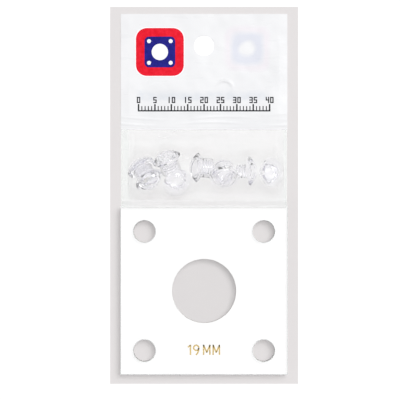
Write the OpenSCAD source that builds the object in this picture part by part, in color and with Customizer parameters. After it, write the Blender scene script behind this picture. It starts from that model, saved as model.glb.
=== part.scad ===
// Square screw-together coin capsule: a white centre plate with a coin hole
// between two clear cover plates, with a header bag that holds its four clear
// posts and four clear screws. Millimetres. The capsule lies on its back face.

/* [Plates] */
// Side of the three square plates
plate_w = 50.8; // [46:0.1:60]
// Thickness of each plate
plate_t = 1.6; // [1.2:0.1:2.4]
// Diameter of the coin hole in the centre plate
coin_d = 19.4; // [17:0.1:26]
// Diameter of each corner screw hole
hole_d = 6.7; // [6.4:0.1:7.2]
// Hole-to-hole spacing of the corner screw holes
hole_pitch = 36.2; // [34:0.1:38]
// Depth of the foil recess that holds the size mark
foil_t = 0.06; // [0.04:0.01:0.2]
// Cap height of the size mark
mark_h = 3.1; // [2:0.1:4]

/* [Header bag] */
// Thickness of one layer of bag film
film_t = 0.1; // [0.05:0.01:0.15]
// Distance from the fold at the plates to the lower edge of the white header
pouch_h = 23.7; // [23.2:0.1:26]
// Height of the white header
header_h = 35.3; // [30:0.1:40]
// Diameter of the punched hang hole
hang_d = 6.2; // [5:0.1:8]
// Distance from the top edge of the header to the centre of the hang hole
hang_down = 9.7; // [7:0.1:12]
// Length of the film tail held between the back plate and the centre plate
tail_l = 3.2; // [2:0.1:3.4]
// Free room between a fastener and the film over it
film_gap = 0.35; // [0.3:0.05:0.6]

/* [Fasteners] */
// Diameter of the domed slotted heads
head_d = 8.8; // [8:0.1:9]
// Height of the dome
head_h = 2.3; // [1.8:0.1:2.4]
// Outside diameter of a post's barrel
barrel_d = 6.0; // [5.4:0.1:6.1]
// Length of a post's barrel under its head
barrel_l = 4.4; // [4:0.1:4.5]
// Outside diameter of a screw's thread
thread_d = 4.2; // [3.5:0.1:4.3]
// Radial running clearance of the thread in its post
thread_gap = 0.05; // [0.02:0.01:0.1]
// Length of a screw's thread under its head
thread_l = 4.0; // [3:0.1:4.2]
// Width of a driver slot
slot_w = 1.0; // [0.6:0.1:1.4]
// Depth of a driver slot
slot_d = 1.0; // [0.5:0.1:1.3]

/* [Hidden] */
$fn = 64;
eps = 0.05;
ink_t = 0.03;

// plate levels: the two film layers of the tail part the back and centre plates
tail_t = 2 * film_t;
z_centre = plate_t + tail_t;
z_front = z_centre + plate_t;
half = plate_w / 2;

// bag levels and lines
y_fold = half + 0.1;
z_fold = plate_t + film_t;
y_film = half + 0.2;
y_low = half + 1.9;
y_header = half + pouch_h;
y_top = y_header + header_h;
y_hang = y_top - hang_down;
z_print = film_t;
z_hf = film_t + ink_t;
z_ink = z_hf + film_t;
seal_l = 2.2;
seal_r = 1.2;

// pose of each fastener: underside of its head, azimuth and tilt of its dome,
// and turn of its driver slot
P1 = [[-16.65, 33.81, 6.87], -56.1, 54.4, 60];
P2 = [[-11.37, 39.99, 4.83], 113.0, 62.9, 20];
S2 = [[-8.04, 32.94, 4.66], -61.9, 29.8, -12];
P3 = [[-2.00, 37.50, 4.38], 176.3, 71.7, 70];
P4 = [[6.09, 34.69, 5.43], -90.7, 42.0, -27];
S3 = [[13.82, 36.43, 4.42], 1.8, 76.2, 0];
S4 = [[20.49, 35.89, 4.61], 5.2, 36.6, -5];
// how far the threaded pair is backed out, and its free travel outwards
gap_1 = 1.0;
pair_out = 1.0;

dome_r = (head_d * head_d / 4 + head_h * head_h) / (2 * head_h);

module lie(p) translate(p[0]) rotate([0, 0, p[1]]) rotate([0, p[2], 0]) rotate([0, 0, p[3]]) children();
// the screw of a threaded pair faces its post along the same axis
module lie_screw(p, gap) lie(p) translate([0, 0, -(barrel_l + gap)]) mirror([0, 0, 1]) rotate([0, 0, 35]) children();

module head() {
    difference() {
        intersection() {
            translate([0, 0, head_h - dome_r]) sphere(r = dome_r);
            cylinder(d = head_d, h = head_h + 1);
        }
        translate([-head_d, -slot_w / 2, head_h - slot_d]) cube([2 * head_d, slot_w, slot_d + 1]);
    }
}

module post() {
    difference() {
        union() {
            head();
            translate([0, 0, -barrel_l]) cylinder(d = barrel_d, h = barrel_l + eps);
        }
        translate([0, 0, -barrel_l - 1]) cylinder(d = thread_d + 2 * thread_gap, h = barrel_l + 1.2);
    }
}

module screw() {
    union() {
        head();
        translate([0, 0, -thread_l]) cylinder(d = thread_d, h = thread_l + eps);
    }
}

module corner_holes(z, h) {
    for (x = [-1, 1], y = [-1, 1])
        translate([x * hole_pitch / 2, y * hole_pitch / 2, z]) cylinder(d = hole_d, h = h);
}

module plate(z) {
    difference() {
        translate([-half, -half, z]) cube([plate_w, plate_w, plate_t]);
        corner_holes(z - 1, plate_t + 2);
    }
}

// strokes of the size mark, as the figures of the hole's nominal size
sw = 0.42;
module bar(x0, y0, x1, y1) {
    l = sqrt((x1 - x0) * (x1 - x0) + (y1 - y0) * (y1 - y0));
    translate([x0, y0]) rotate(atan2(y1 - y0, x1 - x0)) translate([-sw / 2, -sw / 2]) square([l + sw, sw]);
}
module fig_one(x) { bar(x, 0, x, mark_h - sw); bar(x - 0.6, mark_h - 1.0, x, mark_h - sw); }
module fig_nine(x) {
    difference() {
        translate([x, mark_h - 0.95 - sw / 2]) circle(r = 0.95);
        translate([x, mark_h - 0.95 - sw / 2]) circle(r = 0.95 - sw);
    }
    bar(x + 0.74, mark_h - 1.15, x + 0.2, 0);
}
module fig_m(x) {
    bar(x, 0, x, mark_h - sw);
    bar(x, mark_h - sw, x + 0.95, 0.9);
    bar(x + 0.95, 0.9, x + 1.9, mark_h - sw);
    bar(x + 1.9, 0, x + 1.9, mark_h - sw);
}
module mark_2d() {
    translate([-4.95, -19.45]) {
        fig_one(0.8);
        fig_nine(2.5);
        fig_m(4.65);
        fig_m(7.5);
    }
}

module back_plate() { color([0.86, 0.9, 0.9, 0.35]) plate(0); }

module centre_plate() {
    color("white")
    difference() {
        plate(z_centre);
        translate([0, 0, z_centre - 1]) cylinder(d = coin_d, h = plate_t + 2);
        translate([0, 0, z_front - foil_t]) linear_extrude(height = 1) mark_2d();
    }
}

module size_mark() {
    color([0.78, 0.62, 0.25])
    translate([0, 0, z_front - foil_t]) linear_extrude(height = foil_t - 0.01) mark_2d();
}

module front_plate() { color([0.86, 0.9, 0.9, 0.35]) plate(z_front); }

module bag_tail() {
    color([0.9, 0.93, 0.93, 0.5])
    translate([-half, half - tail_l, plate_t]) cube([plate_w, tail_l, tail_t]);
}

// extrudes a Y-Z outline across the bag's width
module across() { translate([-half, 0, 0]) rotate([90, 0, 90]) linear_extrude(height = plate_w) children(); }

module pouch_back_film() {
    color([0.9, 0.94, 0.93, 0.4])
    across() polygon([[y_film, plate_t], [y_low, 0], [y_header, 0], [y_header, film_t], [y_low, film_t], [y_film, plate_t + film_t]]);
}

// envelope over one head: rim and crown, grown by c, with room to travel out
module head_env(c, out = 0) {
    translate([0, 0, -0.1 - c]) cylinder(d = head_d + 2 * c, h = 0.9 + 2 * c + out, $fn = 24);
    cylinder(d = 4.6 + 2 * c, h = head_h + c + out, $fn = 18);
}
module fastener_env(c) {
    hull() {
        lie(P1) head_env(c, pair_out);
        lie(P1) translate([0, 0, -(barrel_l + gap_1)]) mirror([0, 0, 1]) head_env(c);
        for (p = [P2, S2, P3, P4, S3, S4]) lie(p) head_env(c);
        translate([-half + seal_l - c, y_low + 0.5 - c, 0]) cube([plate_w - seal_l - seal_r + 2 * c, pouch_h - 3.4 + 2 * c, film_t + c - 0.3]);
    }
}
module above(z) intersection() { children(); translate([-50, 0, z]) cube([100, 100, 40]); }

module pouch_front_film() {
    color([0.92, 0.95, 0.95, 0.3])
    union() {
        difference() {
            union() {
                translate([-half, y_low, film_t]) cube([plate_w, y_header - y_low, film_t]);
                above(1.5 * film_t) fastener_env(film_gap + film_t);
            }
            above(film_t / 2) fastener_env(film_gap);
        }
        across() polygon([[y_film, plate_t + film_t], [y_low + 0.1, 1.2 * film_t], [y_low + 0.1, 1.8 * film_t], [y_film, plate_t + 2 * film_t]]);
    }
}

module header_sheet(z) {
    difference() {
        translate([-half, y_header, z]) cube([plate_w, header_h, film_t]);
        translate([0, y_hang, z - 1]) cylinder(d = hang_d, h = film_t + 2);
    }
}
module header_back() { color([0.95, 0.96, 0.97]) header_sheet(0); }
module header_front() { color([0.97, 0.97, 0.98]) header_sheet(z_hf); }

// generic pictogram: a square plate with a coin hole and four screw holes
em_x = -13.5;
em_y = 72.8;
module emblem_2d(w) {
    difference() {
        union() {
            square([w, w * 0.54], center = true);
            square([w * 0.54, w], center = true);
            for (x = [-1, 1], y = [-1, 1]) translate([x * w * 0.27, y * w * 0.27]) circle(r = w * 0.23);
        }
        circle(r = w * 0.165);
        for (x = [-1, 1], y = [-1, 1]) translate([x * w * 0.217, y * w * 0.217]) circle(r = w * 0.041, $fn = 24);
    }
}
module emblem_ink() {
    color([0.12, 0.2, 0.5])
    translate([em_x, em_y, z_ink]) linear_extrude(height = ink_t) emblem_2d(15.2);
}

// millimetre scale: a tick at each millimetre and a figure at each fifth
fig_w = 1.05;
fig_h = 1.9;
fig_s = 0.34;
// the figures 0 to 5 are made of straight bars
module fig_bar(x, y, w, h) { translate([x, y]) square([w, h]); }
module figure(d) {
    m = (fig_h - fig_s) / 2;
    r = fig_w - fig_s;
    if (d == 1) fig_bar(r / 2, 0, fig_s, fig_h);
    if (d == 0 || d == 2 || d == 3 || d == 5) { fig_bar(0, fig_h - fig_s, fig_w, fig_s); fig_bar(0, 0, fig_w, fig_s); }
    if (d >= 2) fig_bar(0, m, fig_w, fig_s);
    if (d == 0 || d == 4 || d == 5) fig_bar(0, m, fig_s, fig_h - m);
    if (d == 0 || d == 2 || d == 3 || d == 4) fig_bar(r, m, fig_s, fig_h - m);
    if (d == 0 || d == 2) fig_bar(0, 0, fig_s, m + fig_s);
    if (d == 0 || d == 3 || d == 4 || d == 5) fig_bar(r, 0, fig_s, m + fig_s);
}
module label(n) {
    if (n < 10) translate([-fig_w / 2, 0]) figure(n);
    else {
        translate([-fig_w - 0.14, 0]) figure(floor(n / 10));
        translate([0.14, 0]) figure(n % 10);
    }
}
module scale_ink() {
    color([0.1, 0.1, 0.12])
    translate([-20, 54.9, z_ink]) linear_extrude(height = ink_t) {
        for (i = [0 : 40]) {
            w = i % 5 == 0 ? 0.45 : 0.3;
            translate([i - w / 2, 0]) square([w, i % 5 == 0 ? 2.0 : 1.4]);
        }
        translate([-0.225, -0.25]) square([40.45, 0.4]);
        for (n = [0 : 5 : 40]) translate([n, 2.3]) label(n);
    }
}

// the back header's own print, seen through the white film as a faint ghost
module back_print() {
    color([0.7, 0.72, 0.78])
    translate([0, 0, z_print]) linear_extrude(height = ink_t) {
        translate([13.9, 74.7]) mirror([1, 0]) emblem_2d(13.6);
        translate([-20, 60.6]) for (i = [0 : 5 : 40]) translate([i - 0.3, 0]) square([0.6, 1.9]);
    }
}

module post_1() { color([0.85, 0.87, 0.9, 0.5]) lie(P1) post(); }
module screw_1() { color([0.8, 0.83, 0.87, 0.5]) lie_screw(P1, gap_1) screw(); }
module post_2() { color([0.85, 0.87, 0.9, 0.5]) lie(P2) post(); }
module screw_2() { color([0.8, 0.83, 0.87, 0.5]) lie(S2) screw(); }
module post_3() { color([0.85, 0.87, 0.9, 0.5]) lie(P3) post(); }
module screw_3() { color([0.8, 0.83, 0.87, 0.5]) lie(S3) screw(); }
module post_4() { color([0.85, 0.87, 0.9, 0.5]) lie(P4) post(); }
module screw_4() { color([0.8, 0.83, 0.87, 0.5]) lie(S4) screw(); }

back_plate();
centre_plate();
size_mark();
front_plate();
bag_tail();
pouch_back_film();
pouch_front_film();
header_back();
header_front();
emblem_ink();
scale_ink();
back_print();
post_1();
screw_1();
post_2();
screw_2();
post_3();
screw_3();
post_4();
screw_4();
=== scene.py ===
import math
import bpy
import bmesh
import numpy as np
from mathutils import Matrix, Vector
from mathutils.bvhtree import BVHTree


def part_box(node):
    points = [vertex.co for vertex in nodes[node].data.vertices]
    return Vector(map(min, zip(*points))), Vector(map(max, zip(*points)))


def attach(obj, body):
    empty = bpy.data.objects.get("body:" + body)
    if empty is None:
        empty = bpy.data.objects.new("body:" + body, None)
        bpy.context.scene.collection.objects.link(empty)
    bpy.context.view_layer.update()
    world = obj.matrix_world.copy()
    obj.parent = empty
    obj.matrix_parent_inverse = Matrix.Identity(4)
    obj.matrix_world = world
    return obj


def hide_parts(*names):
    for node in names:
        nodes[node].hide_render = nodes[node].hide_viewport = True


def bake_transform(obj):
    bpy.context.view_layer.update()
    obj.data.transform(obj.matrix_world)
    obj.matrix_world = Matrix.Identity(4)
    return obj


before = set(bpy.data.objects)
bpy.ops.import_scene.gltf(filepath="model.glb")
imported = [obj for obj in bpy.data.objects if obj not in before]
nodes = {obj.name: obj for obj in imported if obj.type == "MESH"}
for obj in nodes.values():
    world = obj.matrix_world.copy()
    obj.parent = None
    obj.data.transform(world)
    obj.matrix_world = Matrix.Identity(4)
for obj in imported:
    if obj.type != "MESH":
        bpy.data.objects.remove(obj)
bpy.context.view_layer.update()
MM = 0.001
scene = bpy.context.scene
scene.view_settings.view_transform = "Standard"
scene.view_settings.look = "None"

# ---------------------------------------------------------------- sizes (mm)
HALF = 25.4
HOLE_R, PITCH, COIN_R = 3.35, 36.2, 9.7
Z_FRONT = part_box("front_plate")[1].z / MM      # top of the stack
Z_C0, Z_C1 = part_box("centre_plate")[0].z / MM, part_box("centre_plate")[1].z / MM
Z_B1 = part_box("back_plate")[1].z / MM
Y_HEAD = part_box("header_front")[0].y / MM
Y_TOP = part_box("header_front")[1].y / MM
Y_HANG = Y_TOP - 9.7
HANG_R = 3.1
Y_FOLD = HALF + 0.1
Y_LOW = HALF + 1.9

# ---------------------------------------------------------------- helpers


def link(o):
    scene.collection.objects.link(o)
    return o


def mesh_obj(name, verts_mm, faces, smooth=True):
    me = bpy.data.meshes.new(name)
    me.from_pydata([tuple(c * MM for c in v) for v in verts_mm], [], faces)
    me.validate()
    me.update()
    if smooth:
        me.polygons.foreach_set("use_smooth", [True] * len(me.polygons))
    return link(bpy.data.objects.new(name, me))


def grid_obj(name, X, Y, Z, keep=None, uv=True):
    """A sheet from 2-D arrays in mm; keep is a mask of its cells."""
    ny, nx = X.shape
    verts = np.stack([X, Y, Z], -1).reshape(-1, 3)
    faces = []
    for j in range(ny - 1):
        for i in range(nx - 1):
            if keep is None or keep[j, i]:
                a = j * nx + i
                faces.append((a, a + 1, a + nx + 1, a + nx))
    o = mesh_obj(name, verts, faces)
    bm = bmesh.new()
    bm.from_mesh(o.data)
    loose = [v for v in bm.verts if not v.link_faces]
    bmesh.ops.delete(bm, geom=loose, context="VERTS")
    bm.to_mesh(o.data)
    bm.free()
    return o


def to_mesh(o):
    """Turns a curve or modified object into a plain mesh object of the same name."""
    dg = bpy.context.evaluated_depsgraph_get()
    dg.update()
    me = bpy.data.meshes.new_from_object(o.evaluated_get(dg))
    name = o.name
    mats = [m for m in o.data.materials]
    bpy.data.objects.remove(o)
    n = link(bpy.data.objects.new(name, me))
    n.name = name
    return n


def plate_obj(name, z0, z1, holes, bevel=0.12, corner=0.25):
    """Sheet with round holes and softened edges, made from a filled 2-D curve."""
    cu = bpy.data.curves.new(name, "CURVE")
    cu.dimensions = "2D"
    cu.fill_mode = "BOTH"
    cu.resolution_u = 1

    def loop(pts):
        sp = cu.splines.new("POLY")
        sp.points.add(len(pts) - 1)
        for p, (x, y) in zip(sp.points, pts):
            p.co = (x * MM, y * MM, 0, 1)
        sp.use_cyclic_u = True

    pts = []
    h = HALF - 0.02
    for cx, cy, a0 in ((1, 1, 0), (-1, 1, 90), (-1, -1, 180), (1, -1, 270)):
        for k in range(5):
            a = math.radians(a0 + 90 * k / 4)
            pts.append((cx * (h - corner) + corner * math.cos(a), cy * (h - corner) + corner * math.sin(a)))
    loop(pts)
    for x, y, r in holes:
        n = 128 if r > 5 else 72
        loop([(x + r * math.cos(2 * math.pi * k / n), y + r * math.sin(2 * math.pi * k / n)) for k in range(n)])
    cu.extrude = ((z1 - z0) / 2 - bevel) * MM
    cu.bevel_depth = bevel * MM
    cu.bevel_resolution = 2
    cu.offset = -bevel * MM
    o = link(bpy.data.objects.new(name, cu))
    o.location.z = (z0 + z1) / 2 * MM
    bpy.context.view_layer.update()
    mw = o.matrix_world.copy()
    n = to_mesh(o)
    n.data.transform(mw)
    bm = bmesh.new()
    bm.from_mesh(n.data)
    bmesh.ops.remove_doubles(bm, verts=bm.verts, dist=2e-6)
    bmesh.ops.recalc_face_normals(bm, faces=bm.faces)
    bm.to_mesh(n.data)
    bm.free()
    # a fresh mesh, without the curve's own split normals
    me = bpy.data.meshes.new(name)
    me.from_pydata([tuple(v.co) for v in n.data.vertices], [], [tuple(p.vertices) for p in n.data.polygons])
    me.update()
    bpy.data.objects.remove(n)
    n = link(bpy.data.objects.new(name, me))
    me.set_sharp_from_angle(angle=math.radians(28))
    me.polygons.foreach_set("use_smooth", [abs(p.normal.z) < 0.30 for p in me.polygons])
    return n


def flats_and_edges(o, face_mat, edge_mat):
    """First material on the two flat faces, second on the cut edges and bevels."""
    o.data.materials.clear()
    o.data.materials.append(face_mat)
    o.data.materials.append(edge_mat)
    for p in o.data.polygons:
        p.material_index = 0 if abs(p.normal.z) > 0.99 else 1
    return o


# ---------------------------------------------------------------- materials
def new_mat(name):
    m = bpy.data.materials.new(name)
    m.use_nodes = True
    nt = m.node_tree
    b = nt.nodes["Principled BSDF"]
    return m, nt, b


def node(nt, kind, **props):
    n = nt.nodes.new(kind)
    for k, v in props.items():
        if hasattr(n, k):
            setattr(n, k, v)
        else:
            n.inputs[k.replace("_", " ")].default_value = v
    return n


def coords(nt):
    return nt.nodes.new("ShaderNodeTexCoord").outputs["Object"]


def noise(nt, vec, scale, detail=3.0, rough=0.5, stretch=None):
    if stretch:
        mp = nt.nodes.new("ShaderNodeMapping")
        mp.inputs["Scale"].default_value = stretch
        nt.links.new(vec, mp.inputs["Vector"])
        vec = mp.outputs["Vector"]
    n = nt.nodes.new("ShaderNodeTexNoise")
    n.inputs["Scale"].default_value = scale
    n.inputs["Detail"].default_value = detail
    n.inputs["Roughness"].default_value = rough
    nt.links.new(vec, n.inputs["Vector"])
    return n.outputs["Fac"]


def ramp(nt, fac, stops, interp="LINEAR"):
    r = nt.nodes.new("ShaderNodeValToRGB")
    r.color_ramp.interpolation = interp
    els = r.color_ramp.elements
    while len(els) < len(stops):
        els.new(0.5)
    for e, (p, c) in zip(els, stops):
        e.position = p
        e.color = c if len(c) == 4 else (*c, 1)
    nt.links.new(fac, r.inputs["Fac"])
    return r.outputs["Color"]


def maprange(nt, fac, a, b, c, d):
    m = nt.nodes.new("ShaderNodeMapRange")
    for k, v in zip(("From Min", "From Max", "To Min", "To Max"), (a, b, c, d)):
        m.inputs[k].default_value = v
    nt.links.new(fac, m.inputs["Value"])
    return m.outputs["Result"]


def mathn(nt, op, a, b=None):
    m = nt.nodes.new("ShaderNodeMath")
    m.operation = op
    for i, v in enumerate((a, b)):
        if v is None:
            continue
        if isinstance(v, (int, float)):
            m.inputs[i].default_value = v
        else:
            nt.links.new(v, m.inputs[i])
    return m.outputs["Value"]


def mix(nt, fac, a, b):
    m = nt.nodes.new("ShaderNodeMix")
    m.data_type = "RGBA"
    for sock, v in ((m.inputs[0], fac), (m.inputs[6], a), (m.inputs[7], b)):
        if isinstance(v, (int, float)):
            sock.default_value = v
        elif isinstance(v, tuple):
            sock.default_value = v if len(v) == 4 else (*v, 1)
        else:
            nt.links.new(v, sock)
    return m.outputs[2]


def bump(nt, b, fac, strength, dist):
    n = nt.nodes.new("ShaderNodeBump")
    n.inputs["Strength"].default_value = strength
    n.inputs["Distance"].default_value = dist
    nt.links.new(fac, n.inputs["Height"])
    nt.links.new(n.outputs["Normal"], b.inputs["Normal"])
    return n


def side_mask(nt):
    """1 on cut edges and bevels, 0 on the flat faces."""
    g = nt.nodes.new("ShaderNodeNewGeometry")
    s = nt.nodes.new("ShaderNodeSeparateXYZ")
    nt.links.new(g.outputs["Normal"], s.inputs[0])
    z = mathn(nt, "ABSOLUTE", s.outputs["Z"])
    return maprange(nt, z, 0.35, 0.85, 1.0, 0.0)


def fresnel(nt, ior, lo=0.0, hi=1.0):
    f = nt.nodes.new("ShaderNodeFresnel")
    f.inputs["IOR"].default_value = ior
    return maprange(nt, f.outputs["Fac"], 0.0, 1.0, lo, hi)


def mat_clear_acrylic():
    """Polished face of a clear sheet: only its reflection shows, by Fresnel, and light passes."""
    m, nt, b = new_mat("clear_acrylic")
    co = coords(nt)
    smear = noise(nt, co, 60, 4, 0.6)
    b.inputs["Base Color"].default_value = (1, 1, 1, 1)
    b.inputs["Metallic"].default_value = 1.0
    nt.links.new(maprange(nt, smear, 0.45, 0.75, 0.015, 0.06), b.inputs["Roughness"])
    nt.links.new(fresnel(nt, 1.49, 0.0, 0.45), b.inputs["Alpha"])
    return m


def mat_clear_edge():
    """Cut edge and bevel of a clear sheet: satin, faintly green, with fine saw lines."""
    m, nt, b = new_mat("clear_acrylic_edge")
    co = coords(nt)
    saw = noise(nt, co, 900, 2, 0.6, stretch=(1, 1, 0.06))
    nt.links.new(mix(nt, saw, (0.87, 0.925, 0.915), (0.92, 0.965, 0.955)), b.inputs["Base Color"])
    nt.links.new(maprange(nt, saw, 0.3, 0.7, 0.27, 0.31), b.inputs["Alpha"])
    nt.links.new(maprange(nt, saw, 0.3, 0.7, 0.20, 0.32), b.inputs["Roughness"])
    b.inputs["IOR"].default_value = 1.49
    bump(nt, b, saw, 0.06, 0.00003)
    return m


def mat_white_acrylic():
    m, nt, b = new_mat("white_acrylic")
    co = coords(nt)
    side = side_mask(nt)
    mott = noise(nt, co, 140, 3, 0.5)
    face = mix(nt, maprange(nt, mott, 0.3, 0.7, 0, 1), (0.955, 0.955, 0.955), (0.975, 0.975, 0.972))
    saw = noise(nt, co, 900, 2, 0.6, stretch=(1, 1, 0.06))
    edge = mix(nt, saw, (0.86, 0.835, 0.77), (0.93, 0.91, 0.86))
    nt.links.new(mix(nt, side, face, edge), b.inputs["Base Color"])
    b.inputs["Subsurface Weight"].default_value = 0.0
    nt.links.new(mathn(nt, "ADD", mathn(nt, "MULTIPLY", side, 0.35), maprange(nt, mott, 0.3, 0.7, 0.10, 0.16)), b.inputs["Roughness"])
    b.inputs["IOR"].default_value = 1.49
    bump(nt, b, mathn(nt, "MULTIPLY", saw, side), 0.3, 0.00004)
    return m


def mat_clear_plastic():
    m, nt, b = new_mat("clear_plastic")
    co = coords(nt)
    b.inputs["Transmission Weight"].default_value = 1.0
    b.inputs["IOR"].default_value = 1.46
    sm = noise(nt, co, 420, 3, 0.55)
    nt.links.new(maprange(nt, sm, 0.35, 0.75, 0.02, 0.09), b.inputs["Roughness"])
    flow = noise(nt, co, 260, 2, 0.4, stretch=(1, 1, 0.4))
    bump(nt, b, flow, 0.08, 0.0002)
    nt.links.new(mix(nt, maprange(nt, sm, 0.4, 0.8, 0, 1), (0.985, 0.983, 0.995), (0.945, 0.94, 0.975)), b.inputs["Base Color"])
    return m


def mat_film(name, haze=(0.30, 0.46), tint=(0.93, 0.95, 0.945), seals=True):
    """Clear bag film: mostly see-through, with a milky haze, faint flow lines, pressed side seals with a painted
    highlight line inside each, and a soft gloss.
    """
    m, nt, b = new_mat(name)
    co = coords(nt)
    flow = noise(nt, co, 130, 3, 0.55, stretch=(0.25, 1.6, 1))
    cloud = noise(nt, co, 45, 4, 0.6)
    col = mix(nt, maprange(nt, cloud, 0.35, 0.65, 0, 1), tint, (0.87, 0.88, 0.88))
    amt = maprange(nt, mathn(nt, "ADD", mathn(nt, "MULTIPLY", flow, 0.6), mathn(nt, "MULTIPLY", cloud, 0.4)), 0.32, 0.68, haze[0], haze[1])
    if seals:
        sx = nt.nodes.new("ShaderNodeSeparateXYZ")
        nt.links.new(co, sx.inputs[0])
        x = mathn(nt, "ADD", sx.outputs["X"], mathn(nt, "MULTIPLY", mathn(nt, "SUBTRACT", cloud, 0.5), 0.0012))
        seal = mathn(nt, "ADD", maprange(nt, x, -0.0232, -0.0226, 1, 0), maprange(nt, x, 0.0238, 0.0244, 0, 1))
        col = mix(nt, seal, col, (0.800, 0.835, 0.820))
        amt = mathn(nt, "ADD", amt, mathn(nt, "MULTIPLY", seal, 0.10))
        # painted highlight: a paler line of extra haze along the inner edge of each side seal, where light would catch
        # the film
        for cx in (-0.0217, 0.0221):
            d = mathn(nt, "ABSOLUTE", mathn(nt, "SUBTRACT", x, cx))
            amt = mathn(nt, "ADD", amt, maprange(nt, d, 0.00015, 0.0006, 0.05, 0.0))
    nt.links.new(col, b.inputs["Base Color"])
    nt.links.new(amt, b.inputs["Alpha"])
    b.inputs["IOR"].default_value = 1.5
    b.inputs["Specular IOR Level"].default_value = 0.3
    nt.links.new(maprange(nt, flow, 0.3, 0.7, 0.12, 0.26), b.inputs["Roughness"])
    bump(nt, b, flow, 0.35, 0.00012)
    return m


def ghost_masks(nt, co):
    """Soft masks, in metres of the row frame, of the print on the back header seen through the white film."""
    s = nt.nodes.new("ShaderNodeSeparateXYZ")
    wob = nt.nodes.new("ShaderNodeTexNoise")
    wob.inputs["Scale"].default_value = 220
    nt.links.new(co, wob.inputs["Vector"])
    va = nt.nodes.new("ShaderNodeVectorMath")
    va.operation = "MULTIPLY_ADD"
    va.inputs[1].default_value = (0.0016, 0.0016, 0)
    nt.links.new(wob.outputs["Color"], va.inputs[0])
    nt.links.new(co, va.inputs[2])
    nt.links.new(va.outputs[0], s.inputs[0])
    x, y = s.outputs["X"], s.outputs["Y"]

    def dist(cx, cy, n):
        dx = mathn(nt, "MULTIPLY", mathn(nt, "ABSOLUTE", mathn(nt, "SUBTRACT", x, cx)), 1000)
        dy = mathn(nt, "MULTIPLY", mathn(nt, "ABSOLUTE", mathn(nt, "SUBTRACT", y, cy)), 1000)
        s_ = mathn(nt, "ADD", mathn(nt, "POWER", dx, n), mathn(nt, "POWER", dy, n))
        return mathn(nt, "MULTIPLY", mathn(nt, "POWER", s_, 1 / n), 0.001)

    # a rounded square with a round hole, as printed on the front
    d = dist(0.0139, 0.0747, 5.0)
    ring = mathn(nt, "MULTIPLY", maprange(nt, d, 0.0043, 0.0056, 0, 1), maprange(nt, d, 0.0062, 0.0076, 1, 0))
    core = maprange(nt, d, 0.0040, 0.0056, 1, 0)
    core = mathn(nt, "MULTIPLY", core, maprange(nt, dist(0.0139, 0.0747, 2.0), 0.0017, 0.0030, 0, 1))
    bx = mathn(nt, "MULTIPLY", maprange(nt, x, -0.0205, -0.0185, 0, 1), maprange(nt, x, 0.0190, 0.0210, 1, 0))
    by = mathn(nt, "MULTIPLY", maprange(nt, y, 0.0584, 0.0592, 0, 1), maprange(nt, y, 0.0606, 0.0622, 1, 0))
    band = mathn(nt, "MULTIPLY", bx, by)
    band = mathn(nt, "MULTIPLY", band, maprange(nt, noise(nt, co, 420, 2, 0.5), 0.35, 0.6, 0.55, 1.0))
    return ring, core, band


def mat_white_film(name, ghosts):
    m, nt, b = new_mat(name)
    co = coords(nt)
    cloud = noise(nt, co, 38, 4, 0.6)
    fine = noise(nt, co, 260, 2, 0.5, stretch=(0.4, 1.4, 1))
    col = mix(nt, maprange(nt, cloud, 0.35, 0.65, 0, 1), (0.775, 0.779, 0.795), (0.835, 0.837, 0.848))
    if ghosts:
        ring, core, band = ghost_masks(nt, co)
        col = mix(nt, mathn(nt, "MULTIPLY", ring, 0.38), col, (0.80, 0.72, 0.79))
        col = mix(nt, mathn(nt, "MULTIPLY", core, 0.75), col, (0.66, 0.68, 0.77))
        col = mix(nt, mathn(nt, "MULTIPLY", band, 0.60), col, (0.66, 0.69, 0.74))
    nt.links.new(col, b.inputs["Base Color"])
    nt.links.new(maprange(nt, fine, 0.3, 0.7, 0.24, 0.4), b.inputs["Roughness"])
    b.inputs["Specular IOR Level"].default_value = 0.3
    b.inputs["IOR"].default_value = 1.5
    bump(nt, b, fine, 0.25, 0.0001)
    return m


def mat_ink(name, rgb, rgb2=None):
    m, nt, b = new_mat(name)
    co = coords(nt)
    n = noise(nt, co, 900, 3, 0.6)
    nt.links.new(mix(nt, maprange(nt, n, 0.35, 0.7, 0, 1), rgb, rgb2 or tuple(min(1, c * 1.25 + 0.01) for c in rgb)), b.inputs["Base Color"])
    nt.links.new(maprange(nt, n, 0.3, 0.7, 0.40, 0.55), b.inputs["Roughness"])
    b.inputs["Specular IOR Level"].default_value = 0.08
    bump(nt, b, n, 0.1, 0.00002)
    return m


def mat_gold():
    m, nt, b = new_mat("gold_foil")
    co = coords(nt)
    n = noise(nt, co, 1500, 3, 0.6)
    nt.links.new(mix(nt, n, (0.40, 0.28, 0.085), (0.60, 0.46, 0.20)), b.inputs["Base Color"])
    b.inputs["Metallic"].default_value = 0.6
    nt.links.new(maprange(nt, n, 0.3, 0.7, 0.22, 0.42), b.inputs["Roughness"])
    bump(nt, b, n, 0.2, 0.00002)
    return m


M_CLEAR = mat_clear_acrylic()
M_EDGE = mat_clear_edge()
M_WHITE = mat_white_acrylic()
M_PLASTIC = mat_clear_plastic()
M_FILM_F = mat_film("pouch_film_front", (0.14, 0.24), (0.82, 0.85, 0.845))
M_FILM_B = mat_film("pouch_film_back", (0.26, 0.40), (0.81, 0.84, 0.835))
M_HEAD_F = mat_white_film("header_film_front", True)
M_HEAD_B = mat_white_film("header_film_back", False)
M_RED = mat_ink("ink_red", (0.70, 0.006, 0.020), (0.84, 0.018, 0.040))
M_BLUE = mat_ink("ink_navy", (0.010, 0.010, 0.16), (0.02, 0.02, 0.26))
M_INKW = mat_ink("ink_white", (0.90, 0.90, 0.92), (0.94, 0.94, 0.95))
M_BLACK = mat_ink("ink_black", (0.010, 0.010, 0.013), (0.02, 0.02, 0.025))
M_GOLD = mat_gold()


def wear(o, m):
    o.data.materials.clear()
    o.data.materials.append(m)
    return o


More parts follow.
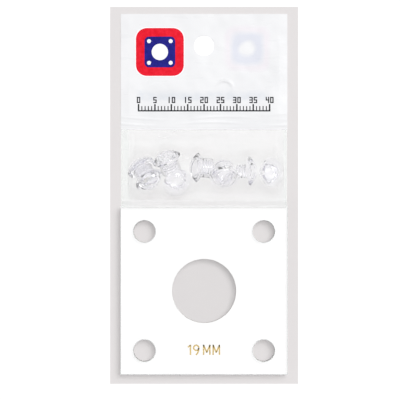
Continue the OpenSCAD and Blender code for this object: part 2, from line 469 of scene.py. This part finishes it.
# ---------------------------------------------------------------- plates
corner_holes = [(sx * PITCH / 2, sy * PITCH / 2, HOLE_R) for sx in (-1, 1) for sy in (-1, 1)]
front = flats_and_edges(plate_obj("front_cover", Z_C1 + 0.03, Z_FRONT, corner_holes), M_CLEAR, M_EDGE)
back = flats_and_edges(plate_obj("back_cover", 0.0, Z_B1 - 0.01, corner_holes), M_CLEAR, M_EDGE)
centre = wear(plate_obj("centre_insert", Z_C0 + 0.01, Z_C1, corner_holes + [(0, 0, COIN_R)], bevel=0.08), M_WHITE)
for o, b_, n_, s_ in ((front, "front_panel", "front_plate", "clear_acrylic"), (back, "back_panel", "back_plate", "clear_acrylic"), (centre, "centre_panel", "centre_plate", "white_acrylic")):
    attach(o, b_)
    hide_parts(n_)
    o.visible_diffuse = False


# gold figures: flat strokes, stamped on the centre plate
def stroke(path, w, closed=False):
    """Outline polygon of a stroked path, in mm."""
    pts = [Vector(p) for p in path]
    out = []
    n = len(pts)
    left, right = [], []
    for i, p in enumerate(pts):
        if closed:
            t = (pts[(i + 1) % n] - pts[i - 1]).normalized()
        else:
            t = (pts[min(i + 1, n - 1)] - pts[max(i - 1, 0)]).normalized()
        nr = Vector((-t.y, t.x))
        left.append(p + nr * w / 2)
        right.append(p - nr * w / 2)
    return left, right, closed


def strokes_obj(name, paths, w, z, lift=0.012):
    bm = bmesh.new()
    for path, closed in paths:
        left, right, _ = stroke(path, w, closed)
        n = len(left)
        lv = [bm.verts.new((p.x * MM, p.y * MM, z * MM)) for p in left]
        rv = [bm.verts.new((p.x * MM, p.y * MM, z * MM)) for p in right]
        for i in range(n if closed else n - 1):
            j = (i + 1) % n
            bm.faces.new((lv[i], rv[i], rv[j], lv[j]))
    me = bpy.data.meshes.new(name)
    bm.to_mesh(me)
    bm.free()
    o = link(bpy.data.objects.new(name, me))
    bm = bmesh.new()
    bm.from_mesh(me)
    bmesh.ops.recalc_face_normals(bm, faces=bm.faces)
    for f in bm.faces:
        if f.normal.z < 0:
            f.normal_flip()
    r = bmesh.ops.extrude_face_region(bm, geom=bm.faces[:])
    for v in [g for g in r["geom"] if isinstance(g, bmesh.types.BMVert)]:
        v.co.z += lift * MM
    bmesh.ops.recalc_face_normals(bm, faces=bm.faces)
    bm.to_mesh(me)
    bm.free()
    return o


mh = 3.1
x0, y0 = -4.95, -19.45
SW = 0.45


def arc(cx, cy, r, a0, a1, n=20, ry=None):
    ry = ry or r
    return [(cx + r * math.cos(math.radians(a0 + (a1 - a0) * k / n)), cy + ry * math.sin(math.radians(a0 + (a1 - a0) * k / n))) for k in range(n + 1)]


def glyph_m(x):
    return [([(x, 0), (x, mh)], False), ([(x - 0.04, mh), (x + 0.95, 0.75)], False), ([(x + 0.95, 0.75), (x + 1.94, mh)], False), ([(x + 1.9, 0), (x + 1.9, mh)], False)]


mark_paths = [([(0.8, 0), (0.8, mh)], False), ([(0.05, mh - 0.75), (0.8, mh - 0.1)], False)]
mark_paths += [(arc(2.55, mh - 0.93, 0.78, 0, 360, 32)[:-1], True), ([(3.33, mh - 0.93), (3.24, 1.25), (2.95, 0.55), (2.5, 0.0)], False)]
mark_paths += glyph_m(4.8) + glyph_m(7.7)
mark_paths = [([(px + x0, py + y0) for px, py in p], c) for p, c in mark_paths]
mark = wear(strokes_obj("size_mark_foil", mark_paths, SW, Z_C1 - 0.001, 0.014), M_GOLD)
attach(mark, "centre_panel")
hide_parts("size_mark")

# ---------------------------------------------------------------- fasteners
HEAD_R, HEAD_H, BAR_R, BAR_L, THR_L, PIT = 4.4, 2.3, 3.0, 4.4, 4.0, 0.794
SLOT_W, SLOT_D = 1.0, 1.0
DOME_R = (HEAD_R ** 2 + HEAD_H ** 2) / (2 * HEAD_H)
NT = 72


def dome_profile(n=12):
    """Rim and dome, from the underside's outer edge up to the crown, in (r, z)."""
    pts = [(HEAD_R - 0.14, 0.0), (HEAD_R - 0.04, 0.03), (HEAD_R, 0.12)]
    zc = HEAD_H - DOME_R
    a0 = math.asin(min(1, (HEAD_R - 0.05) / DOME_R))
    for k in range(1, n + 1):
        a = a0 * (1 - k / n)
        pts.append((DOME_R * math.sin(a), zc + DOME_R * math.cos(a)))
    return pts


def revolve(bm, rings, cap_first=True, cap_last=True, nt=NT):
    """Closed surface through rings of (r or r(theta), z)."""
    rows = []
    for r, z in rings:
        if not callable(r) and r < 1e-4:
            rows.append([bm.verts.new((0, 0, z))])
            continue
        rows.append([bm.verts.new(((r(t) if callable(r) else r) * math.cos(t), (r(t) if callable(r) else r) * math.sin(t), z)) for t in (2 * math.pi * k / nt for k in range(nt))])
    for a, b in zip(rows, rows[1:]):
        for k in range(nt):
            k2 = (k + 1) % nt
            if len(a) == 1:
                bm.faces.new((a[0], b[k], b[k2]))
            elif len(b) == 1:
                bm.faces.new((a[k], b[0], a[k2]))
            else:
                bm.faces.new((a[k], b[k], b[k2], a[k2]))
    if cap_first and len(rows[0]) > 1:
        bm.faces.new(list(reversed(rows[0])))
    if cap_last and len(rows[-1]) > 1:
        bm.faces.new(rows[-1])


def thread_r(z, r_out, depth, taper):
    """Radius of a right-hand thread at height z, as a function of angle."""
    def f(t):
        u = (z / PIT - t / (2 * math.pi)) % 1.0
        tri = abs(2 * u - 1)                        # 1 at the crest, 0 at the root
        tri = min(1.0, max(0.0, tri * 1.35 - 0.12))
        return r_out - depth * (1 - tri) * taper
    return f


def make_post(name):
    bm = bmesh.new()
    rings = []
    # bottom of the blind bore up is drawn from the bore's floor out to the mouth
    zb, nz = 0.15, 46
    rings.append((0.0, zb))
    for k in range(nz + 1):
        z = zb - (BAR_L + zb) * k / nz
        fade = min(1.0, k / 4, (nz - k) / 3 + 0.15)
        base = 2.12
        rings.append((lambda t, z=z, fade=fade, base=base: base - 0.0 + 0.30 * (1 - (thread_r(z, 1.0, 1.0, 1.0)(t))) * fade, z))
    rings.append((BAR_R - 0.12, -BAR_L))
    rings.append((BAR_R, -BAR_L + 0.12))
    rings.append((BAR_R, -0.10))
    rings.append((BAR_R + 0.10, 0.0))
    rings += dome_profile()
    revolve(bm, rings, cap_first=False, cap_last=False)
    bmesh.ops.recalc_face_normals(bm, faces=bm.faces)
    me = bpy.data.meshes.new(name)
    bm.to_mesh(me)
    bm.free()
    return link(bpy.data.objects.new(name, me))


def make_screw(name):
    bm = bmesh.new()
    rings = [(0.0, -THR_L), (1.45, -THR_L)]
    nz = 56
    for k in range(nz + 1):
        z = -THR_L + 0.10 + (THR_L - 0.35) * k / nz
        fade = min(1.0, (nz - k) / 4)
        lead = min(1.0, 0.55 + 0.45 * k / 6)
        rings.append((lambda t, z=z, fade=fade, lead=lead: (1.68 + (thread_r(z, 2.08, 0.40, 1.0)(t) - 1.68) * fade) * (0.9 + 0.1 * lead), z))
    rings.append((1.75, -0.14))
    rings.append((1.95, 0.0))
    rings += dome_profile()
    revolve(bm, rings, cap_first=False, cap_last=False)
    bmesh.ops.recalc_face_normals(bm, faces=bm.faces)
    me = bpy.data.meshes.new(name)
    bm.to_mesh(me)
    bm.free()
    return link(bpy.data.objects.new(name, me))


def cut_slot(o):
    bm = bmesh.new()
    bmesh.ops.create_cube(bm, size=1.0)
    for v in bm.verts:
        v.co.x *= 2.4 * HEAD_R
        v.co.y *= SLOT_W
        v.co.z = v.co.z * 2.0 + HEAD_H - SLOT_D + 1.0
    me = bpy.data.meshes.new("slot_tool")
    bm.to_mesh(me)
    bm.free()
    t = link(bpy.data.objects.new("slot_tool", me))
    md = o.modifiers.new("slot", "BOOLEAN")
    md.operation = "DIFFERENCE"
    md.object = t
    md.solver = "EXACT"
    n = to_mesh(o)
    bpy.data.objects.remove(t)
    return n


def pose_matrix(o, az, inc, spin):
    return Matrix.Translation(o) @ Matrix.Rotation(math.radians(az), 4, "Z") @ Matrix.Rotation(math.radians(inc), 4, "Y") @ Matrix.Rotation(math.radians(spin), 4, "Z")


# underside of each head (mm), azimuth and tilt of its dome, turn of its slot
LIE = {
    "post_1": ((-16.65, 33.81, 6.87), -56.1, 54.4, 60), "post_2": ((-11.37, 39.99, 4.83), 113.0, 62.9, 20),
    "screw_2": ((-8.04, 32.94, 4.66), -61.9, 29.8, -12), "post_3": ((-2.00, 37.50, 4.38), 176.3, 71.7, 70),
    "post_4": ((6.09, 34.69, 5.43), -90.7, 42.0, -27), "screw_3": ((13.82, 36.43, 4.42), 1.8, 76.2, 0),
    "screw_4": ((20.49, 35.89, 4.61), 5.2, 36.6, -5),
}
GAP = 1.0
base_post = cut_slot(make_post("base_post"))
base_screw = cut_slot(make_screw("base_screw"))
fasteners = {}
for nm in ("post_1", "screw_1", "post_2", "screw_2", "post_3", "screw_3", "post_4", "screw_4"):
    kind, k = nm.split("_")
    src = base_post if kind == "post" else base_screw
    me = src.data.copy()
    me.name = nm + "_clear"
    if nm == "screw_1":
        m = pose_matrix(*LIE["post_1"]) @ Matrix.Translation((0, 0, -(BAR_L + GAP))) @ Matrix.Rotation(math.pi, 4, "X") @ Matrix.Rotation(math.radians(-35), 4, "Z")
    else:
        m = pose_matrix(*LIE[nm])
    me.transform(m)
    me.transform(Matrix.Scale(MM, 4))
    me.polygons.foreach_set("use_smooth", [True] * len(me.polygons))
    me.set_sharp_from_angle(angle=math.radians(32))
    o = link(bpy.data.objects.new(nm + "_clear", me))
    wear(o, M_PLASTIC)
    o.visible_shadow = o.visible_diffuse = False
    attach(o, nm)
    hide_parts(nm)
    fasteners[nm] = o
bpy.data.objects.remove(base_post)
bpy.data.objects.remove(base_screw)


# ---------------------------------------------------------------- bag film
rng = np.random.RandomState(11)


def smooth_noise(X, Y, scale, seed, octaves=3):
    """Smooth value noise on a plane, from seeded sums of sines."""
    r = np.random.RandomState(seed)
    out = np.zeros_like(X)
    for o_ in range(octaves):
        for _ in range(5):
            a = r.rand() * 2 * math.pi
            f = (2 ** o_) * (0.7 + 0.6 * r.rand()) / scale
            out += math.pow(0.5, o_) * np.sin(2 * math.pi * f * (X * math.cos(a) + Y * math.sin(a)) + r.rand() * 2 * math.pi)
    return out / 5.0


def base_z(Y, lift):
    """Height of the film's flat parts: between the plates, down the step, then along the card."""
    t = np.clip((Y - (HALF + 0.15)) / (Y_LOW + 0.4 - (HALF + 0.15)), 0, 1)
    s = t * t * (3 - 2 * t)
    return (Z_B1 + 0.10) * (1 - s) + lift + 0.02 * s


def obstacle(X, Y):
    """Height of the fasteners, and of the room that post_1 travels in along its axis, over each point (mm)."""
    trees = []
    for nm, o in fasteners.items():
        V = np.array([v.co for v in o.data.vertices]) / MM
        F = [list(p.vertices) for p in o.data.polygons]
        shifts = [np.zeros(3)]
        if nm == "post_1":
            a = np.array((pose_matrix(*LIE[nm]).to_3x3() @ Vector((0, 0, 1))))
            shifts += [a * 0.5, a * 1.0, a * -0.5, a * -0.95]
        for s in shifts:
            trees.append(BVHTree.FromPolygons([tuple(v) for v in V + s], F))
    H = np.full(X.shape, -1.0)
    for j in range(X.shape[0]):
        for i in range(X.shape[1]):
            p = Vector((X[j, i], Y[j, i], 30.0))
            for t in trees:
                hit = t.ray_cast(p, Vector((0, 0, -1)))
                if hit[0] is not None and hit[0].z > H[j, i]:
                    H[j, i] = hit[0].z
    return H


def dilate(H, r):
    out = H.copy()
    for dj in range(-r, r + 1):
        for di in range(-r, r + 1):
            if dj * dj + di * di <= r * r + 0.5:
                sh = np.full_like(H, -1.0)
                js, je = max(0, dj), H.shape[0] + min(0, dj)
                is_, ie = max(0, di), H.shape[1] + min(0, di)
                sh[js:je, is_:ie] = H[js - dj:je - dj, is_ - di:ie - di]
                out = np.maximum(out, sh)
    return out


def drape():
    """Front film of the pouch: a sheet a little larger than a tight one, laid over the fasteners by position-based dynamics."""
    nx, ny = 185, 98
    x = np.linspace(-HALF + 0.05, HALF - 0.05, nx)
    y = np.linspace(22.3, Y_HEAD + 0.35, ny)
    X, Y = np.meshgrid(x, y)
    free = (X > -23.1) & (X < 24.1) & (Y > Y_LOW + 0.35) & (Y < Y_HEAD - 0.45)
    fx = np.linspace(-24.5, 25.0, 331)
    fy = np.linspace(27.0, Y_HEAD, 149)
    FX, FY = np.meshgrid(fx, fy)
    H = dilate(obstacle(FX, FY), 2) + 0.22

    def h_at(px, py):
        u = np.clip((px - fx[0]) / (fx[1] - fx[0]), 0, len(fx) - 1.001)
        v = np.clip((py - fy[0]) / (fy[1] - fy[0]), 0, len(fy) - 1.001)
        i, j = u.astype(int), v.astype(int)
        a, b = u - i, v - j
        return H[j, i] * (1 - a) * (1 - b) + H[j, i + 1] * a * (1 - b) + H[j + 1, i] * (1 - a) * b + H[j + 1, i + 1] * a * b

    zb = base_z(Y, 0.16)
    Z = zb.copy()
    Hg = h_at(X, Y)
    # tight membrane over the obstacles
    for it in range(1500):
        n = Z.copy()
        n[1:-1, 1:-1] = 0.25 * (Z[2:, 1:-1] + Z[:-2, 1:-1] + Z[1:-1, 2:] + Z[1:-1, :-2])
        n = Z + 1.0 * (n - Z)
        Z = np.where(free, np.maximum(n, np.maximum(Hg, zb)), zb)
    P = np.stack([X, Y, Z], -1)
    tight = P.copy()
    slack = 1.035 + 0.02 * smooth_noise(X, Y, 14, 5, 2)

    def pairs(dj, di):
        A = (slice(max(0, -dj), ny - max(0, dj)), slice(max(0, -di), nx - max(0, di)))
        B = (slice(max(0, dj), ny - max(0, -dj)), slice(max(0, di), nx - max(0, -di)))
        return A, B

    links = []
    for (dj, di), k in (((0, 1), 0.9), ((1, 0), 0.9), ((1, 1), 0.35), ((1, -1), 0.35), ((0, 3), 0.16), ((3, 0), 0.16), ((3, 3), 0.07), ((3, -3), 0.07)):
        A, B = pairs(dj, di)
        L = np.linalg.norm(tight[A] - tight[B], axis=-1) * 0.5 * (slack[A] + slack[B])
        links.append((A, B, L, k))
    P[..., 2] += np.where(free, 0.25 * np.abs(smooth_noise(X, Y, 5.0, 3, 2)), 0)
    vel = np.zeros_like(P)
    W = free[..., None].astype(float)
    steps = 150
    for it in range(steps):
        vel *= 0.93
        vel[..., 2] -= 0.004
        prev = P.copy()
        P = P + vel * W
        for sub in range(5):
            D = np.zeros_like(P)
            C = np.zeros(P.shape[:2])
            for A, B, L, k in links:
                d = P[B] - P[A]
                ln = np.linalg.norm(d, axis=-1) + 1e-9
                c = (k * 0.5 * (ln - L) / ln)[..., None] * d
                D[A] += c
                D[B] -= c
                C[A] += k
                C[B] += k
            P = P + 1.5 * D / np.maximum(C, 1e-6)[..., None] * W * 0.9
            P[..., 2] = np.where(free, np.maximum(P[..., 2], np.maximum(h_at(P[..., 0], P[..., 1]), 0.16)), P[..., 2])
            P[..., 2] = np.minimum(P[..., 2], 11.6)
        vel = P - prev
    return X, Y, P, free


X, Y, P, free_mask = drape()


def relax(P, free, n, w=0.5):
    for _ in range(n):
        A = P.copy()
        A[1:-1, 1:-1] = 0.25 * (P[2:, 1:-1] + P[:-2, 1:-1] + P[1:-1, 2:] + P[1:-1, :-2])
        P = np.where(free[..., None], P + w * (A - P), P)
    return P


P = relax(P, free_mask, 1, 0.4)
inner = np.clip((24.0 - np.abs(X)) / 3.0, 0, 1)
for yy, k, ph in ((47.3, 0.22, 0.4), (44.6, 0.26, 1.7), (28.6, 0.10, 0.0)):
    P[..., 2] += inner * k * np.exp(-((P[..., 1] - yy - 0.22 * np.sin(X / 7.0 + ph)) / 0.34) ** 2) * (0.65 + 0.35 * np.sin(X / 5.2 + ph))
film_front = grid_obj("pouch_film_front", P[..., 0], P[..., 1], P[..., 2])
sub = film_front.modifiers.new("sub", "SUBSURF")
sub.levels = sub.render_levels = 1
film_front = to_mesh(film_front)
film_front.data.polygons.foreach_set("use_smooth", [True] * len(film_front.data.polygons))
wear(film_front, M_FILM_F)
film_front.visible_shadow = film_front.visible_diffuse = False
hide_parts("pouch_front_film", "bag_tail")
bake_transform(film_front)

xb, yb = np.meshgrid(np.linspace(-HALF + 0.05, HALF - 0.05, 121), np.linspace(22.3, Y_HEAD + 0.35, 80))
zb_ = base_z(yb, 0.03) + np.where(yb > Y_LOW + 0.3, 0.03 * (1 + smooth_noise(xb, yb, 9, 8, 2)), 0)
film_back = wear(grid_obj("pouch_film_back", xb, yb, np.maximum(zb_, 0.02)), M_FILM_B)
film_back.visible_shadow = film_back.visible_diffuse = False
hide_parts("pouch_back_film")
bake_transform(film_back)

# ---------------------------------------------------------------- header


def header_z(X, Y, layer):
    """Gentle waves of the header, with the pinched seam at the pouch and a small dent beside the hang hole."""
    edge = np.clip((Y - Y_HEAD) / 5.0, 0, 1)
    side = np.clip((HALF - np.abs(X)) / 2.5, 0, 1)
    w = 0.10 * (1 + smooth_noise(X, Y, 22, 21, 2)) * edge
    z = 0.05 + w
    if layer:
        z = z + 0.10 + 0.10 * (1 + smooth_noise(X, Y, 15, 23, 3)) * edge * side
        d = np.hypot(X - 6.2, Y - 61.4)
        a = np.arctan2(Y - 61.4, X - 6.2)
        z = z + 0.34 * np.exp(-((d - 2.6) / 0.42) ** 2) * np.exp(-((a - 1.35) / 0.85) ** 2)
        for yy, k, ph in ((52.6, 0.10, 0.3), (50.9, 0.13, 1.1), (54.0, 0.05, 2.0)):
            z = z + k * np.exp(-((Y - yy - 0.5 * np.sin(X / 6.0 + ph)) / 0.32) ** 2) * (0.5 + 0.5 * np.sin(X / 4.1 + ph))
    return z


def header_obj(name, layer):
    x = np.linspace(-HALF, HALF, 231)
    y = np.linspace(Y_HEAD, Y_TOP, 163)
    X, Y = np.meshgrid(x, y)
    # pull the grid onto the hang hole's edge, then drop the cells inside it
    d = np.hypot(X, Y - Y_HANG)
    near = d < HANG_R + 0.16
    k = np.where(near & (d > HANG_R - 0.17), HANG_R / np.maximum(d, 1e-6), 1.0)
    X2, Y2 = X * k, Y_HANG + (Y - Y_HANG) * k
    Z = header_z(X2, Y2, layer)
    cd = np.hypot(0.25 * (X2[1:, 1:] + X2[:-1, 1:] + X2[1:, :-1] + X2[:-1, :-1]), 0.25 * (Y2[1:, 1:] + Y2[:-1, 1:] + Y2[1:, :-1] + Y2[:-1, :-1]) - Y_HANG)
    dmin = np.minimum.reduce([np.hypot(a, b - Y_HANG) for a, b in ((X2[1:, 1:], Y2[1:, 1:]), (X2[:-1, 1:], Y2[:-1, 1:]), (X2[1:, :-1], Y2[1:, :-1]), (X2[:-1, :-1], Y2[:-1, :-1]))])
    return grid_obj(name, X2, Y2, Z, keep=dmin > HANG_R - 0.02)


head_f = wear(header_obj("header_film_front", 1), M_HEAD_F)
head_b = wear(header_obj("header_film_back", 0), M_HEAD_B)
for o, n_ in ((head_f, "header_front"), (head_b, "header_back")):
    sol = o.modifiers.new("t", "SOLIDIFY")
    sol.thickness = 0.05 * MM
    sol.offset = 0
    o2 = to_mesh(o)
    wear(o2, M_HEAD_F if n_ == "header_front" else M_HEAD_B)
    o2.data.polygons.foreach_set("use_smooth", [True] * len(o2.data.polygons))
    o2.data.set_sharp_from_angle(angle=math.radians(50))
    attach(o2, "header_bag")
    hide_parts(n_)
    if n_ == "header_front":
        head_f = o2
    else:
        head_b = o2


# prints: thin ink shapes that follow the film
def drape_print(o, lift):
    me = o.data
    co = np.zeros(len(me.vertices) * 3)
    me.vertices.foreach_get("co", co)
    co = co.reshape(-1, 3)
    z = header_z(co[:, 0] / MM, co[:, 1] / MM, 1) + 0.025 + lift
    co[:, 2] += z * MM
    me.vertices.foreach_set("co", co.ravel())
    me.update()


def fill_curve(name, loops, res=1):
    """Flat filled shape from closed loops in mm, cut into small triangles so that it can follow the film."""
    cu = bpy.data.curves.new(name, "CURVE")
    cu.dimensions = "2D"
    cu.fill_mode = "BOTH"
    for pts in loops:
        sp = cu.splines.new("POLY")
        sp.points.add(len(pts) - 1)
        for p, (x, y) in zip(sp.points, pts):
            p.co = (x * MM, y * MM, 0, 1)
        sp.use_cyclic_u = True
    o = to_mesh(link(bpy.data.objects.new(name, cu)))
    bm = bmesh.new()
    bm.from_mesh(o.data)
    bmesh.ops.triangulate(bm, faces=bm.faces)
    for _ in range(8):
        long = [e for e in bm.edges if e.calc_length() > 0.8 * MM]
        if not long:
            break
        bmesh.ops.subdivide_edges(bm, edges=long, cuts=1)
        bmesh.ops.triangulate(bm, faces=bm.faces)
    bmesh.ops.recalc_face_normals(bm, faces=bm.faces)
    for f in bm.faces:
        if f.normal.z < 0:
            f.normal_flip()
    bm.to_mesh(o.data)
    bm.free()
    return o


def circ(cx, cy, r, n=64):
    return [(cx + r * math.cos(2 * math.pi * k / n), cy + r * math.sin(2 * math.pi * k / n)) for k in range(n)]


def rrect(cx, cy, w, h, r, n=8):
    pts = []
    for sx, sy, a0 in ((1, 1, 0), (-1, 1, 90), (-1, -1, 180), (1, -1, 270)):
        for k in range(n + 1):
            a = math.radians(a0 + 90 * k / n)
            pts.append((cx + sx * (w / 2 - r) + r * math.cos(a), cy + sy * (h / 2 - r) + r * math.sin(a)))
    return pts


EX, EY = -13.5, 72.8
emblem = []


def add_print(name, loops, mat, lift, node_=None, store=emblem):
    o = wear(fill_curve(name, loops), mat)
    drape_print(o, lift)
    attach(o, "header_bag")
    if node_:
        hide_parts(node_)
    store.append(o)
    return o


DOTS = [circ(EX + sx * 3.3, EY + sy * 3.3, 0.62, 24) for sx in (-1, 1) for sy in (-1, 1)]
add_print("emblem_field", [rrect(EX, EY, 14.6, 14.6, 3.3), rrect(EX, EY, 9.4, 9.4, 1.4)], M_RED, 0.03, "emblem_ink")
add_print("emblem_outline", [rrect(EX, EY, 15.2, 15.2, 3.5), rrect(EX, EY, 14.6, 14.6, 3.3)], M_INKW, 0.03, None)
add_print("emblem_core", [rrect(EX, EY, 9.4, 9.4, 1.4), circ(EX, EY, 2.5)] + DOTS, M_BLUE, 0.03, None)
for k, loop_ in enumerate([circ(EX, EY, 2.5)] + DOTS):
    add_print("emblem_white_%d" % k, [loop_], M_INKW, 0.03, None)

scale = []
ticks = [[(-20.225, 54.65), (20.225, 54.65), (20.225, 55.05), (-20.225, 55.05)]]
for i in range(41):
    w, h = (0.45, 2.0) if i % 5 == 0 else (0.30, 1.4)
    x = -20 + i
    ticks.append([(x - w / 2, 55.052), (x + w / 2, 55.052), (x + w / 2, 54.9 + h), (x - w / 2, 54.9 + h)])
add_print("scale_ticks", ticks, M_BLACK, 0.03, "scale_ink", scale)

# figures 0 to 5 as outlines of straight bars: w wide, h high, s thick
FW, FH, FS = 1.05, 1.9, 0.34
FM, FR = (FH - FS) / 2, FW - FS


def figure(d):
    a, b_, c, e_, f = FS, FM, FM + FS, FH - FS, FH
    if d == 0:
        return [[(0, 0), (FW, 0), (FW, f), (0, f)], [(a, a), (FR, a), (FR, e_), (a, e_)]]
    if d == 1:
        return [[(FR / 2, 0), (FR / 2 + FS, 0), (FR / 2 + FS, f), (FR / 2, f)]]
    if d == 2:
        return [[(0, 0), (FW, 0), (FW, a), (a, a), (a, b_), (FW, b_), (FW, f), (0, f), (0, e_), (FR, e_), (FR, c), (0, c)]]
    if d == 3:
        return [[(0, 0), (FW, 0), (FW, f), (0, f), (0, e_), (FR, e_), (FR, c), (0, c), (0, b_), (FR, b_), (FR, a), (0, a)]]
    if d == 4:
        return [[(FR, 0), (FW, 0), (FW, f), (FR, f), (FR, c), (a, c), (a, f), (0, f), (0, b_), (FR, b_)]]
    return [[(0, 0), (FW, 0), (FW, c), (a, c), (a, e_), (FW, e_), (FW, f), (0, f), (0, b_), (FR, b_), (FR, a), (0, a)]]


loops = []
for n_ in range(0, 41, 5):
    parts = [(n_, -FW / 2)] if n_ < 10 else [(n_ // 10, -FW - 0.14), (n_ % 10, 0.14)]
    for d, dx in parts:
        loops += [[(px - 20 + n_ + dx, py + 57.2) for px, py in lp] for lp in figure(d)]
add_print("scale_figures", loops, M_BLACK, 0.03, None, scale)

# the back print is inside the bag; its own mesh stays, hidden between the films
nodes["back_print"].data.materials.clear()
nodes["back_print"].data.materials.append(mat_ink("ink_ghost", (0.55, 0.58, 0.68)))

# ---------------------------------------------------------------- stage
def plane(name, x0, x1, y0, y1, z, rgb, rough=0.9, var=0.01):
    o = mesh_obj(name, [(x0, y0, z), (x1, y0, z), (x1, y1, z), (x0, y1, z)], [(0, 1, 2, 3)], smooth=False)
    m, nt, b = new_mat(name)
    n = noise(nt, coords(nt), 300, 3, 0.5)
    nt.links.new(mix(nt, n, tuple(c * (1 - var) for c in rgb), tuple(min(1, c * (1 + var)) for c in rgb)), b.inputs["Base Color"])
    b.inputs["Roughness"].default_value = rough
    b.inputs["Specular IOR Level"].default_value = 0.1
    wear(o, m)
    return o


plane("card", -28.7, 28.7, -28.5, 86.6, -0.012, (0.715, 0.690, 0.690))
plane("page", -400, 400, -400, 400, -0.05, (0.97, 0.97, 0.97), 1.0, 0.0)
disc = mesh_obj("hole_backing", [(3.9 * math.cos(2 * math.pi * k / 48), Y_HANG + 3.9 * math.sin(2 * math.pi * k / 48), -0.004) for k in range(48)], [tuple(range(48))], smooth=False)
m_, nt_, b_ = new_mat("hole_backing")
b_.inputs["Base Color"].default_value = (0.98, 0.98, 0.98, 1)
wear(disc, m_)

# ---------------------------------------------------------------- camera and light
cam = bpy.data.cameras.new("main")
cam.lens = 200
cam.sensor_width = 36
cam.clip_start = 0.01
cam_o = link(bpy.data.objects.new("main", cam))
cam_o.location = (-1.25 * MM, 27.63 * MM, 0.6785)
cam_o.rotation_euler = (0, 0, 0)
scene.camera = cam_o

w = bpy.data.worlds.new("studio")
scene.world = w
w.use_nodes = True
nt = w.node_tree
bg = nt.nodes["Background"]
tc = nt.nodes.new("ShaderNodeTexCoord")
sp = nt.nodes.new("ShaderNodeSeparateXYZ")
nt.links.new(tc.outputs["Generated"], sp.inputs[0])
sky = ramp(nt, sp.outputs["Z"], [(0.0, (0.37, 0.35, 0.46)), (0.25, (0.56, 0.54, 0.64)), (0.55, (0.92, 0.92, 0.94)), (1.0, (0.95, 0.95, 0.95))])
lp = nt.nodes.new("ShaderNodeLightPath")
sky = mix(nt, lp.outputs["Is Diffuse Ray"], sky, (0.092, 0.092, 0.092))
sky = mix(nt, lp.outputs["Is Camera Ray"], sky, (0.93, 0.93, 0.93))
nt.links.new(sky, bg.inputs["Color"])
bg.inputs["Strength"].default_value = 1.0


def sun_light(name, energy, angle, tilt, az):
    sun = bpy.data.lights.new(name, "SUN")
    sun.energy = energy
    sun.angle = math.radians(angle)
    o = link(bpy.data.objects.new(name, sun))
    t, a = math.radians(tilt), math.radians(az)
    o.rotation_euler = Vector((math.sin(t) * math.cos(a), math.sin(t) * math.sin(a), math.cos(t))).to_track_quat("Z", "Y").to_euler()
    return o


# the lamp over the copy stand only lights what scatters; its mirror image stays out of the gloss
top = sun_light("top", 1.74, 3, 1.5, 90)
top.visible_glossy = False
top.visible_transmission = False
sun_light("key", 1.46, 34, 22, 44)
sun_light("glint", 0.07, 4, 50, 215)
sun_light("glint_far", 0.05, 4, 58, 20)
